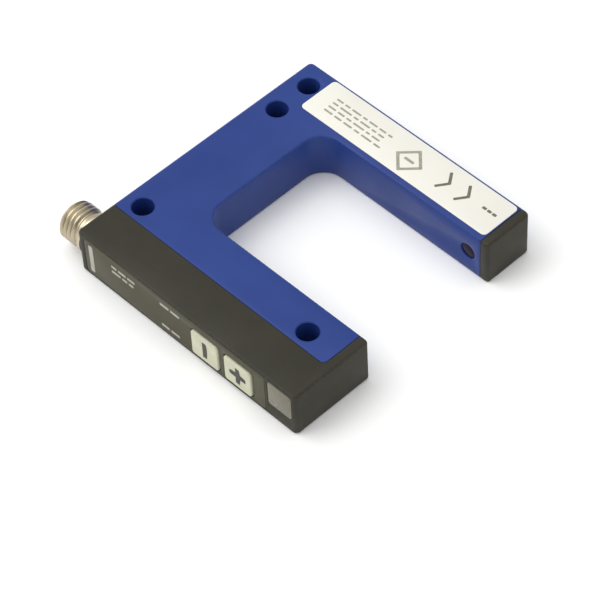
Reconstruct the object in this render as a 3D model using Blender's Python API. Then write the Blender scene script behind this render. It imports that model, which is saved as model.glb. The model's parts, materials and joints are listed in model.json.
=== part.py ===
# A through-beam fork sensor: a U of painted cast aluminium with a light beam across its gap.
# X runs along the arms to their tips, Y across the gap to the emitter arm, and Z up.
# The origin lies on the underside, in the middle of the yoke.

import math

import bmesh
import bpy
from mathutils import Matrix, Vector

MM = 0.001

# The fork
FORK_GAP = 30 * MM
FORK_DEPTH = 42 * MM
YOKE_DEPTH = 14 * MM
THICKNESS = 10 * MM
EMITTER_ARM_WIDTH = 11 * MM
CONTROL_ARM_WIDTH = 18 * MM
COVER_WIDTH = 9 * MM
END_CAP_THICKNESS = 2 * MM
THROAT_RADIUS = 4.5 * MM
CORNER_RADIUS = 1 * MM
TIP_RADIUS = 0.7 * MM
EDGE_RADIUS = 0.45 * MM

# Fits between pieces
SEAM = 0.1 * MM
FIT = 0.15 * MM
SOLDER_GAP = 0.05 * MM

# Mounting holes
HOLE_DIAMETER = 4.3 * MM
HOLE_CHAMFER = 0.2 * MM
HOLE_FROM_BACK = 4.3 * MM
HOLE_FROM_SIDE = 4.8 * MM
HOLE_PITCH = 8.2 * MM
HOLE_FROM_SPLIT = 3.25 * MM
HOLE_FROM_TIP = 9.2 * MM

# Hollows in the metal
POCKET_WALL = 1.6 * MM
GAP_WALL = 2 * MM
POCKET_CORNER = 1 * MM
EMITTER_POCKET_WIDTH = 5.6 * MM
OPTIC_WALL = 3.6 * MM
LAND_HEIGHT = 1 * MM
LAND_FROM_END = 1.5 * MM
TONGUE_DEPTH = 1.2 * MM

# Cover of the control arm
WALL = 1 * MM
BACK_WALL = 3 * MM
CAVITY_CORNER = 0.6 * MM
RIB_WIDTH = 1.2 * MM
RIB_REACH = 0.9 * MM
RIB_GAP = 0.5 * MM

# Optics, which sit alike in both arms
BEAM_FROM_TIP = 5 * MM
BEAM_DIAMETER = 2 * MM
OPTIC_DIAMETER = 3.4 * MM
WINDOW_RECESS = 0.2 * MM
WINDOW_GLASS = 0.8 * MM
LENS_EDGE = 0.5 * MM
LENS_CROWN = 0.8 * MM

# Keys and their switches
KEY_WIDTH = 6.8 * MM
KEY_HEIGHT = 6.1 * MM
KEY_PROUD = 0.35 * MM
KEY_DEPTH = 1.7 * MM
KEY_CORNER = 0.7 * MM
KEY_RIM = 0.25 * MM
KEY_PITCH = 8.4 * MM
KEY_FROM_TIP = 14.2 * MM
KEY_LEVEL = 4.45 * MM
KEY_TRAVEL = 0.4 * MM
EAR_WIDTH = 0.5 * MM
EAR_HEIGHT = 4 * MM
SWITCH_SIZE = 4.2 * MM
SWITCH_CORNER = 0.5 * MM
SWITCH_RIM = 0.2 * MM
PLUNGER_DIAMETER = 1.7 * MM
PLUNGER_PROUD = 0.7 * MM
PLUNGER_SUNK = 0.3 * MM

# Front foil, indicator window and rating label
FOIL_THICKNESS = 0.2 * MM
FOIL_RECESS = 0.25 * MM
FOIL_MARGIN = 0.65 * MM
FOIL_END_GAP = 0.8 * MM
FOIL_CORNER = 0.8 * MM
FOIL_KEY_GAP = 0.1 * MM
INDICATOR_WIDTH = 5.8 * MM
INDICATOR_HEIGHT = 5.8 * MM
INDICATOR_FROM_TIP = 1 * MM
INDICATOR_LEVEL = 6.3 * MM
INDICATOR_PLATE = 0.7 * MM
INDICATOR_CORNER = 0.6 * MM
LIGHT_GUIDE_MARGIN = 1 * MM
LIGHT_GUIDE_DEPTH = 2.9 * MM
LABEL_LENGTH = 46.8 * MM
LABEL_WIDTH = 9.1 * MM
LABEL_THICKNESS = 0.1 * MM
LABEL_GLUE = 0.02 * MM
LABEL_FROM_TIP = 2.2 * MM
LABEL_FROM_SIDE = 0.6 * MM
LABEL_CORNER = 0.9 * MM

# Circuit boards and what is soldered to them
BOARD_THICKNESS = 0.8 * MM
BOARD_BACK_GAP = 1.6 * MM
BOARD_END_GAP = 1.7 * MM
BOARD_EDGE_GAP = 0.2 * MM
BOARD_CORNER = 0.5 * MM
PACKAGE_DRAFT = 0.15 * MM
PACKAGE_MARK = 0.6 * MM
CHIP_SIZE = 5 * MM
CHIP_HEIGHT = 0.9 * MM
CHIP_FROM_THROAT = 6.5 * MM
REGULATOR_SIZE = (6.5 * MM, 3.5 * MM)
REGULATOR_HEIGHT = 1.6 * MM
REGULATOR_FROM_THROAT = 14 * MM
CAPACITOR_DIAMETER = 4 * MM
CAPACITOR_FOOT = 4.3 * MM
CAPACITOR_HEIGHT = 3 * MM
CAPACITOR_BASE = 0.5 * MM
CAPACITOR_RIM = 0.25 * MM
CAPACITOR_FROM_THROAT = 21.5 * MM
DIODE_SIZE = 2.2 * MM
DIODE_HEIGHT = 0.9 * MM
STATUS_LED_SIZE = (1.6 * MM, 1 * MM)
STATUS_LED_HEIGHT = 0.7 * MM
EMITTER_LED_BASE = 3 * MM
EMITTER_LED_FLANGE = 0.85 * MM
EMITTER_LED_HEIGHT = 1.9 * MM
EMITTER_BOARD_LENGTH = 16 * MM
EMITTER_BOARD_CLEARANCE = 1.5 * MM
CABLE_DIAMETER = 1.4 * MM
CABLE_BEND = 2.5 * MM
CABLE_LAP = 3 * MM
CABLE_FROM_THROAT = 4 * MM
PASSAGE_CLEARANCE = 0.9 * MM

# Round plug connector with four contacts, its axis square to the back face
CONNECTOR_THREAD = 8 * MM
CONNECTOR_LENGTH = 6.5 * MM
CONNECTOR_BARREL = 6 * MM
CONNECTOR_FLANGE = 6.8 * MM
CONNECTOR_FLANGE_THICKNESS = 0.8 * MM
CONNECTOR_BORE = 5.9 * MM
CONNECTOR_CORE = 4.8 * MM
CONNECTOR_STEP = 2 * MM
CONNECTOR_COLLAR = 0.8 * MM
THREAD_RELIEF = 0.8 * MM
THREAD_ROOT = 6.9 * MM
THREAD_CHAMFER = 0.4 * MM
SEAL_THICKNESS = 0.4 * MM
CARRIER_LIP = 0.6 * MM
CARRIER_TAIL = 0.3 * MM
PIN_DIAMETER = 0.8 * MM
PIN_CIRCLE = 3.4 * MM
PIN_RECESS = 1.2 * MM
PIN_TAIL = 2 * MM
CODING_SLOT = 0.9 * MM

# Fineness of the round shapes
ARC_STEPS = 5
LARGE_RADIUS = 3 * MM
RIM_STEPS = 2
ROUND_SIDES = 32
SMALL_SIDES = 16
SMOOTH_ANGLE = math.radians(35)
BEYOND = 1 * MM
TINY = 1e-6

# Planes of the body
BACK = -YOKE_DEPTH / 2
THROAT = YOKE_DEPTH / 2
TIP = THROAT + FORK_DEPTH
METAL_END = TIP - END_CAP_THICKNESS
INNER = FORK_GAP / 2
EMITTER_SIDE = INNER + EMITTER_ARM_WIDTH
CONTROL_SIDE = -INNER - CONTROL_ARM_WIDTH
SPLIT = CONTROL_SIDE + COVER_WIDTH
MIDDLE = THICKNESS / 2

# Places that several pieces share
CAVITY_BACK = BACK + BACK_WALL
CAVITY_END = TIP - WALL
CAVITY_HEIGHT = THICKNESS - 2 * WALL
CONNECTOR_Y = (CONTROL_SIDE + SPLIT) / 2
BOARD_OUTER = CONNECTOR_Y - BOARD_THICKNESS / 2
BOARD_INNER = CONNECTOR_Y + BOARD_THICKNESS / 2
BEAM_X = TIP - BEAM_FROM_TIP
OPTIC_SEAT = WINDOW_RECESS + WINDOW_GLASS + LENS_EDGE + LENS_CROWN + 2 * SEAM
EMITTER_POCKET_Y = INNER + OPTIC_WALL
EMITTER_BOARD_Y = EMITTER_POCKET_Y + 2 * FIT + EMITTER_LED_HEIGHT + SOLDER_GAP
CABLE_X = THROAT - CABLE_FROM_THROAT
CABLE_Y = EMITTER_BOARD_Y + BOARD_THICKNESS + SEAM + CABLE_DIAMETER / 2
PASSAGE_RADIUS = CABLE_DIAMETER / 2 + PASSAGE_CLEARANCE
EMITTER_BOARD_END = METAL_END - TONGUE_DEPTH - 2 * FIT
EMITTER_POCKET_END = EMITTER_BOARD_END - EMITTER_BOARD_LENGTH - EMITTER_BOARD_CLEARANCE
INDICATOR_X = TIP - INDICATOR_FROM_TIP - INDICATOR_WIDTH / 2
KEY_PLACES = {"minus": TIP - KEY_FROM_TIP - KEY_PITCH, "plus": TIP - KEY_FROM_TIP}
SWITCH_TOP = CONTROL_SIDE + KEY_DEPTH + SOLDER_GAP + PLUNGER_PROUD
RIB_FROM_KEY = KEY_WIDTH / 2 + EAR_WIDTH + RIB_GAP + RIB_WIDTH / 2
RIB_PLACES = (
    CAVITY_BACK + BOARD_BACK_GAP + RIB_WIDTH,
    KEY_PLACES["minus"] - RIB_FROM_KEY,
    KEY_PLACES["plus"] + RIB_FROM_KEY,
)
HOLES = [
    (BACK + HOLE_FROM_BACK, EMITTER_SIDE - HOLE_FROM_SIDE),
    (BACK + HOLE_FROM_BACK, EMITTER_SIDE - HOLE_FROM_SIDE - HOLE_PITCH),
    (BACK + HOLE_FROM_BACK, SPLIT + HOLE_FROM_SPLIT),
    (TIP - HOLE_FROM_TIP, SPLIT + HOLE_FROM_SPLIT),
]

# Turns that carry a piece's own Z axis out of the body
TO_CONTROL_SIDE = (math.pi / 2, 0, 0)
TO_EMITTER_SIDE = (-math.pi / 2, 0, 0)
TO_BACK = (0, -math.pi / 2, 0)
UPRIGHT = (0, 0, 0)


def rounded(corners):
    """Points of an outline given by its corners (x, y, radius), each radius drawn as an arc.
    Large arcs get more points, so that no chord strays far from the round."""
    points = []
    for index, (x, y, radius) in enumerate(corners):
        here = Vector((x, y))
        if radius <= 0:
            points.append(here)
            continue
        before = (Vector(corners[index - 1][:2]) - here).normalized()
        after = (Vector(corners[(index + 1) % len(corners)][:2]) - here).normalized()
        half = before.angle(after) / 2
        centre = here + (before + after).normalized() * radius / math.sin(half)
        start = here + before * radius / math.tan(half) - centre
        end = here + after * radius / math.tan(half) - centre
        sweep = math.atan2(start.x * end.y - start.y * end.x, start.dot(end))
        steps = ARC_STEPS * (2 if radius > LARGE_RADIUS else 1)
        for step in range(steps + 1):
            points.append(centre + Matrix.Rotation(sweep * step / steps, 2) @ start)
    return points


def prism(outline, low, high):
    """An outline in the XY plane, extruded from low to high."""
    shape = bmesh.new()
    base = shape.faces.new([shape.verts.new((x, y, low)) for x, y in outline])
    grown = bmesh.ops.extrude_face_region(shape, geom=[base])["geom"]
    lifted = [item for item in grown if isinstance(item, bmesh.types.BMVert)]
    bmesh.ops.translate(shape, verts=lifted, vec=(0, 0, high - low))
    return shape


def round_rim(shape, level, radius):
    """Rounds the edges that lie at one height."""
    rim = [
        edge
        for edge in shape.edges
        if all(abs(vert.co.z - level) < TINY for vert in edge.verts)
    ]
    bmesh.ops.bevel(
        shape, geom=rim, offset=radius, segments=RIM_STEPS, profile=0.5, affect="EDGES"
    )


def plate(width, height, low, high, corner=0.0, rim=0.0):
    """A block round its own Z axis: corner rounds its four uprights, and rim its high face."""
    across, along = width / 2, height / 2
    signs = ((-1, -1), (1, -1), (1, 1), (-1, 1))
    shape = prism(rounded([(a * across, b * along, corner) for a, b in signs]), low, high)
    if rim:
        round_rim(shape, high, rim)
    return shape


def turned(profile, sides=ROUND_SIDES):
    """A profile of (radius, height) spun round Z. One that misses the axis closes as a ring."""
    shape = bmesh.new()
    points = [shape.verts.new((radius, 0, height)) for radius, height in profile]
    edges = [shape.edges.new(pair) for pair in zip(points, points[1:])]
    if profile[0][0] > 0:
        edges.append(shape.edges.new((points[-1], points[0])))
    bmesh.ops.spin(
        shape,
        geom=points + edges,
        cent=(0, 0, 0),
        axis=(0, 0, 1),
        angle=2 * math.pi,
        steps=sides,
        use_merge=True,
    )
    bmesh.ops.remove_doubles(shape, verts=shape.verts[:], dist=TINY)
    return shape


def rod(radius, low, high, sides=ROUND_SIDES):
    """A plain cylinder along Z."""
    return turned([(0, low), (radius, low), (radius, high), (0, high)], sides)


def to_object(name, shape, at=(0, 0, 0), turn=UPRIGHT):
    bmesh.ops.recalc_face_normals(shape, faces=shape.faces[:])
    mesh = bpy.data.meshes.new(name)
    shape.to_mesh(mesh)
    shape.free()
    mesh.shade_smooth()
    mesh.set_sharp_from_angle(angle=SMOOTH_ANGLE)
    made = bpy.data.objects.new(name, mesh)
    made.location = at
    made.rotation_euler = turn
    bpy.context.scene.collection.objects.link(made)
    return made


def finish(made, colour, roughness, metallic=0.0, clear=0.0):
    """Gives a piece a material of its own and hangs it on the sensor."""
    look = bpy.data.materials.new(made.name)
    look.use_nodes = True
    shader = look.node_tree.nodes["Principled BSDF"]
    shader.inputs["Base Color"].default_value = (*colour, 1)
    shader.inputs["Roughness"].default_value = roughness
    shader.inputs["Metallic"].default_value = metallic
    shader.inputs["Transmission Weight"].default_value = clear
    made.data.materials.append(look)
    made.parent = bpy.data.objects["fork_sensor"]
    return made


def boolean(body, name, shape, at=(0, 0, 0), turn=UPRIGHT, operation="DIFFERENCE"):
    """Cuts a helper shape from a body, or joins it to the body."""
    use_helper(body, to_object(name, shape, at, turn), operation)


def use_helper(body, tool, operation):
    tool.hide_render = True
    tool.display_type = "WIRE"
    modifier = body.modifiers.new(tool.name, "BOOLEAN")
    modifier.operation = operation
    modifier.object = tool


def add_empty(name, at=(0, 0, 0), parent=None):
    empty = bpy.data.objects.new(name, None)
    empty.location = at
    empty.parent = parent
    bpy.context.scene.collection.objects.link(empty)
    return empty


def outer_form():
    """The skin that the metal, the cover and the end cap share, so that they meet flush."""
    outline = rounded(
        [
            (BACK, CONTROL_SIDE, CORNER_RADIUS),
            (TIP, CONTROL_SIDE, CORNER_RADIUS),
            (TIP, -INNER, TIP_RADIUS),
            (THROAT, -INNER, THROAT_RADIUS),
            (THROAT, INNER, THROAT_RADIUS),
            (TIP, INNER, TIP_RADIUS),
            (TIP, EMITTER_SIDE, CORNER_RADIUS),
            (BACK, EMITTER_SIDE, CORNER_RADIUS),
        ]
    )
    shape = prism(outline, 0, THICKNESS)
    round_rim(shape, 0, EDGE_RADIUS)
    round_rim(shape, THICKNESS, EDGE_RADIUS)
    form = to_object("outer_form", shape)
    form.hide_render = True
    form.display_type = "WIRE"
    return form


def hole_shape():
    """A mounting hole with a small chamfer at both mouths."""
    radius = HOLE_DIAMETER / 2
    mouth = radius + HOLE_CHAMFER + BEYOND
    return turned(
        [
            (0, -BEYOND),
            (mouth, -BEYOND),
            (radius, HOLE_CHAMFER),
            (radius, THICKNESS - HOLE_CHAMFER),
            (mouth, THICKNESS + BEYOND),
            (0, THICKNESS + BEYOND),
        ]
    )


def fork_frame(form):
    """The U of cast aluminium, with the land that centres the cover and the ways for light and cable."""
    outline = rounded(
        [
            (BACK - BEYOND, SPLIT, 0),
            (METAL_END, SPLIT, CORNER_RADIUS),
            (METAL_END, EMITTER_SIDE + BEYOND, 0),
            (BACK - BEYOND, EMITTER_SIDE + BEYOND, 0),
        ]
    )
    frame = to_object("fork_frame", prism(outline, -BEYOND, THICKNESS + BEYOND))
    use_helper(frame, form, "INTERSECT")

    land_start = CAVITY_BACK + FIT
    land_end = METAL_END - LAND_FROM_END
    boolean(
        frame,
        "cover_land",
        plate(
            land_end - land_start,
            CAVITY_HEIGHT - 2 * FIT,
            -POCKET_WALL,
            LAND_HEIGHT,
            CAVITY_CORNER,
        ),
        ((land_start + land_end) / 2, SPLIT, MIDDLE),
        TO_CONTROL_SIDE,
        "UNION",
    )

    pocket_start = HOLES[2][0] + HOLE_DIAMETER / 2 + POCKET_WALL
    pocket_end = HOLES[3][0] - HOLE_DIAMETER / 2 - POCKET_WALL
    boolean(
        frame,
        "control_pocket",
        plate(
            pocket_end - pocket_start,
            THICKNESS - 2 * POCKET_WALL,
            SPLIT + INNER + GAP_WALL,
            LAND_HEIGHT + BEYOND,
            POCKET_CORNER,
        ),
        ((pocket_start + pocket_end) / 2, SPLIT, MIDDLE),
        TO_CONTROL_SIDE,
    )
    boolean(
        frame,
        "emitter_pocket",
        emitter_pocket_shape(0),
        (METAL_END, EMITTER_POCKET_Y + EMITTER_POCKET_WIDTH / 2, MIDDLE),
        TO_BACK,
    )
    boolean(
        frame,
        "cross_passage",
        rod(PASSAGE_RADIUS, SPLIT, CABLE_Y + PASSAGE_RADIUS + FIT),
        (CABLE_X, 0, MIDDLE),
        TO_EMITTER_SIDE,
    )
    boolean(
        frame,
        "arm_passage",
        rod(PASSAGE_RADIUS - SEAM, -EMITTER_POCKET_END - BEYOND, -CABLE_X),
        (0, CABLE_Y, MIDDLE),
        TO_BACK,
    )
    for number, (x, y) in enumerate(HOLES, 1):
        boolean(frame, f"mounting_hole_{number}", hole_shape(), (x, y, 0))
    for name, side, turn, reach in (
        ("emitter_beam", INNER, TO_EMITTER_SIDE, OPTIC_WALL),
        ("receiver_beam", -INNER, TO_CONTROL_SIDE, -INNER - SPLIT + LAND_HEIGHT),
    ):
        step = [
            (0, -BEYOND),
            (OPTIC_DIAMETER / 2, -BEYOND),
            (OPTIC_DIAMETER / 2, OPTIC_SEAT),
            (BEAM_DIAMETER / 2, OPTIC_SEAT),
            (BEAM_DIAMETER / 2, reach + BEYOND),
            (0, reach + BEYOND),
        ]
        boolean(frame, name, turned(step), (BEAM_X, side, MIDDLE), turn)
    return finish(frame, (0.036, 0.068, 0.27), 0.42)


def emitter_pocket_shape(shrink):
    """The hollow in the emitter arm, or the tongue that fits it, from the arm's end inwards."""
    reach = TONGUE_DEPTH if shrink else METAL_END - EMITTER_POCKET_END
    return plate(
        THICKNESS - 2 * POCKET_WALL - 2 * shrink,
        EMITTER_POCKET_WIDTH - 2 * shrink,
        -BEYOND,
        reach,
        POCKET_CORNER - shrink,
    )


def emitter_end_cap(form):
    """Closes the emitter arm: a plate in the body's outline, with a tongue in the pocket."""
    start = METAL_END + SEAM
    outline = rounded(
        [
            (start, 0, 0),
            (TIP + BEYOND, 0, 0),
            (TIP + BEYOND, EMITTER_SIDE + BEYOND, 0),
            (start, EMITTER_SIDE + BEYOND, 0),
        ]
    )
    cap = to_object("emitter_end_cap", prism(outline, -BEYOND, THICKNESS + BEYOND))
    use_helper(cap, form, "INTERSECT")
    boolean(
        cap,
        "cap_tongue",
        emitter_pocket_shape(FIT),
        (METAL_END, EMITTER_POCKET_Y + EMITTER_POCKET_WIDTH / 2, MIDDLE),
        TO_BACK,
        "UNION",
    )
    return finish(cap, (0.055, 0.052, 0.045), 0.5)


def control_cover(form):
    """The moulded shell of the control arm, which turns round the arm's tip and is open to the metal."""
    outline = rounded(
        [
            (BACK - BEYOND, CONTROL_SIDE - BEYOND, 0),
            (TIP + BEYOND, CONTROL_SIDE - BEYOND, 0),
            (TIP + BEYOND, 0, 0),
            (METAL_END + SEAM, 0, 0),
            (METAL_END + SEAM, SPLIT - SEAM, CORNER_RADIUS + SEAM),
            (BACK - BEYOND, SPLIT - SEAM, 0),
        ]
    )
    cover = to_object("control_cover", prism(outline, -BEYOND, THICKNESS + BEYOND))
    use_helper(cover, form, "INTERSECT")

    boolean(
        cover,
        "cover_cavity",
        plate(
            CAVITY_END - CAVITY_BACK,
            CAVITY_HEIGHT,
            CONTROL_SIDE - SPLIT,
            -WALL,
            CAVITY_CORNER,
        ),
        ((CAVITY_BACK + CAVITY_END) / 2, CONTROL_SIDE, MIDDLE),
        TO_CONTROL_SIDE,
    )
    rib_height = RIB_REACH + WALL / 2
    rib_top = CONTROL_SIDE - BOARD_OUTER + SEAM
    for number, x in enumerate(RIB_PLACES, 1):
        for end, side in (("low", -1), ("high", 1)):
            level = MIDDLE + side * (CAVITY_HEIGHT / 2 - RIB_REACH + rib_height / 2)
            boolean(
                cover,
                f"board_rib_{number}_{end}",
                plate(RIB_WIDTH, rib_height, rib_top, -WALL / 2),
                (x, CONTROL_SIDE, level),
                TO_CONTROL_SIDE,
                "UNION",
            )
    boolean(
        cover,
        "connector_opening",
        rod(CONNECTOR_BARREL / 2 + SEAM, -BACK_WALL - BEYOND, BEYOND),
        (BACK, CONNECTOR_Y, MIDDLE),
        TO_BACK,
    )
    for name, x in KEY_PLACES.items():
        opening = plate(
            KEY_WIDTH + 2 * FIT,
            KEY_HEIGHT + 2 * FIT,
            -KEY_DEPTH - KEY_TRAVEL - FIT,
            BEYOND,
            KEY_CORNER + FIT,
        )
        boolean(cover, f"{name}_opening", opening, (x, CONTROL_SIDE, KEY_LEVEL), TO_CONTROL_SIDE)
    boolean(
        cover,
        "indicator_opening",
        plate(
            INDICATOR_WIDTH - 2 * LIGHT_GUIDE_MARGIN + 2 * SEAM,
            INDICATOR_HEIGHT - 2 * LIGHT_GUIDE_MARGIN + 2 * SEAM,
            -LIGHT_GUIDE_DEPTH - SEAM,
            BEYOND,
        ),
        (INDICATOR_X, CONTROL_SIDE, INDICATOR_LEVEL),
        TO_CONTROL_SIDE,
    )
    boolean(
        cover,
        "indicator_seat",
        plate(
            INDICATOR_WIDTH + 2 * SEAM,
            INDICATOR_HEIGHT + 2 * SEAM,
            -INDICATOR_PLATE - SEAM,
            BEYOND,
            INDICATOR_CORNER + SEAM,
        ),
        (INDICATOR_X, CONTROL_SIDE, INDICATOR_LEVEL),
        TO_CONTROL_SIDE,
    )
    boolean(
        cover,
        "foil_seat",
        foil_shape(SEAM, -FOIL_RECESS, BEYOND),
        foil_place(),
        TO_CONTROL_SIDE,
    )
    return finish(cover, (0.055, 0.052, 0.04), 0.5)


def foil_span():
    start = BACK + CORNER_RADIUS + FOIL_END_GAP
    end = TIP - INDICATOR_FROM_TIP - INDICATOR_WIDTH - FOIL_END_GAP
    return start, end


def foil_place():
    start, end = foil_span()
    return ((start + end) / 2, CONTROL_SIDE, MIDDLE)


def foil_shape(grow, low, high):
    start, end = foil_span()
    return plate(
        end - start + 2 * grow,
        THICKNESS - 2 * FOIL_MARGIN + 2 * grow,
        low,
        high,
        FOIL_CORNER + grow,
    )


def control_foil():
    """The thin printed sheet on the side face, cut out round both keys."""
    bottom = -FOIL_RECESS + LABEL_GLUE
    shape = foil_shape(0, bottom, bottom + FOIL_THICKNESS)
    foil = to_object("control_foil", shape, foil_place(), TO_CONTROL_SIDE)
    for name, x in KEY_PLACES.items():
        gap = FIT + FOIL_KEY_GAP
        window = plate(
            KEY_WIDTH + 2 * gap, KEY_HEIGHT + 2 * gap, -BEYOND, BEYOND, KEY_CORNER + gap
        )
        boolean(foil, f"{name}_foil_window", window, (x, CONTROL_SIDE, KEY_LEVEL), TO_CONTROL_SIDE)
    return finish(foil, (0.12, 0.115, 0.095), 0.45)


def indicator_window():
    """The translucent plate over the status light, with a light guide reaching in behind it."""
    window = to_object(
        "indicator_window",
        plate(INDICATOR_WIDTH, INDICATOR_HEIGHT, -INDICATOR_PLATE, 0, INDICATOR_CORNER),
        (INDICATOR_X, CONTROL_SIDE, INDICATOR_LEVEL),
        TO_CONTROL_SIDE,
    )
    boolean(
        window,
        "light_guide",
        plate(
            INDICATOR_WIDTH - 2 * LIGHT_GUIDE_MARGIN,
            INDICATOR_HEIGHT - 2 * LIGHT_GUIDE_MARGIN,
            -LIGHT_GUIDE_DEPTH,
            -INDICATOR_PLATE / 2,
        ),
        (INDICATOR_X, CONTROL_SIDE, INDICATOR_LEVEL),
        TO_CONTROL_SIDE,
        "UNION",
    )
    return finish(window, (0.2, 0.19, 0.14), 0.35)


def rating_label():
    """The blank data label on top of the emitter arm."""
    bottom = THICKNESS + LABEL_GLUE
    label = to_object(
        "rating_label",
        plate(LABEL_LENGTH, LABEL_WIDTH, 0, LABEL_THICKNESS, LABEL_CORNER),
        (
            TIP - LABEL_FROM_TIP - LABEL_LENGTH / 2,
            EMITTER_SIDE - LABEL_FROM_SIDE - LABEL_WIDTH / 2,
            bottom,
        ),
    )
    return finish(label, (0.85, 0.85, 0.68), 0.5)


def key_unit(name, x):
    """A key, the plunger that it presses, and the switch that the plunger works."""
    slide = add_empty(f"{name}_slide", (x, CONTROL_SIDE, KEY_LEVEL), bpy.data.objects["fork_sensor"])

    key = to_object(
        f"{name}_key",
        plate(KEY_WIDTH, KEY_HEIGHT, -KEY_DEPTH, KEY_PROUD, KEY_CORNER, KEY_RIM),
        turn=TO_CONTROL_SIDE,
    )
    ears = to_object(
        f"{name}_key_ears",
        plate(KEY_WIDTH + 2 * EAR_WIDTH, EAR_HEIGHT, -KEY_DEPTH, -WALL - SEAM),
        turn=TO_CONTROL_SIDE,
    )
    use_helper(key, ears, "UNION")
    finish(key, (0.62, 0.61, 0.44), 0.5)
    key.parent = slide
    ears.parent = slide

    tip = SWITCH_TOP - CONTROL_SIDE
    plunger = to_object(
        f"{name}_switch_plunger",
        rod(PLUNGER_DIAMETER / 2, -tip - PLUNGER_SUNK, -KEY_DEPTH - SOLDER_GAP, SMALL_SIDES),
        turn=TO_CONTROL_SIDE,
    )
    finish(plunger, (0.02, 0.02, 0.02), 0.4)
    plunger.parent = slide

    foot = BOARD_OUTER - SOLDER_GAP - SWITCH_TOP
    switch = to_object(
        f"{name}_switch",
        plate(SWITCH_SIZE, SWITCH_SIZE, -foot, 0, SWITCH_CORNER, SWITCH_RIM),
        (x, SWITCH_TOP, KEY_LEVEL),
        TO_CONTROL_SIDE,
    )
    boolean(
        switch,
        f"{name}_switch_well",
        rod(
            PLUNGER_DIAMETER / 2 + SEAM,
            -PLUNGER_SUNK - KEY_TRAVEL - SEAM,
            BEYOND,
            SMALL_SIDES,
        ),
        (x, SWITCH_TOP, KEY_LEVEL),
        TO_CONTROL_SIDE,
    )
    finish(switch, (0.5, 0.5, 0.48), 0.3, 0.9)


def lens_shape():
    """A lens that is flat towards the window and crowned towards the light source."""
    radius = OPTIC_DIAMETER / 2 - SEAM
    flat = WINDOW_RECESS + WINDOW_GLASS + SEAM
    curve = (radius**2 + LENS_CROWN**2) / (2 * LENS_CROWN)
    widest = math.asin(radius / curve)
    profile = [(0, flat), (radius, flat), (radius, flat + LENS_EDGE)]
    for step in range(ARC_STEPS - 1, 0, -1):
        angle = widest * step / ARC_STEPS
        drop = curve * (1 - math.cos(angle))
        profile.append((curve * math.sin(angle), flat + LENS_EDGE + LENS_CROWN - drop))
    profile.append((0, flat + LENS_EDGE + LENS_CROWN))
    return turned(profile)


def optics(name, side, turn):
    """The window and the lens of one arm, measured from the arm's face on the gap."""
    place = (BEAM_X, side, MIDDLE)
    window = to_object(
        f"{name}_window",
        rod(OPTIC_DIAMETER / 2 - SEAM, WINDOW_RECESS, WINDOW_RECESS + WINDOW_GLASS),
        place,
        turn,
    )
    finish(window, (0.03, 0.008, 0.012), 0.08)
    lens = to_object(f"{name}_lens", lens_shape(), place, turn)
    finish(lens, (0.9, 0.9, 0.9), 0.05, clear=1.0)


def package(width, height, thickness, mark=0.0, draft=PACKAGE_DRAFT):
    """A moulded component: draft leans its sides in to its top, and mark cuts off its first corner."""
    across, along = width / 2, height / 2
    outline = [(across, -along), (across, along), (-across, along)]
    if mark:
        outline += [(-across, mark - along), (mark - across, -along)]
    else:
        outline.append((-across, -along))
    shape = prism(outline, 0, thickness)
    for vert in shape.verts:
        if vert.co.z > thickness / 2:
            vert.co.x -= math.copysign(draft, vert.co.x)
            vert.co.y -= math.copysign(draft, vert.co.y)
    return shape


def on_board(name, shape, x, y, z, turn, colour, roughness, metallic=0.0):
    """A piece that stands on a board face, its own Z axis pointing away from the board."""
    return finish(to_object(name, shape, (x, y, z), turn), colour, roughness, metallic)


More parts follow.
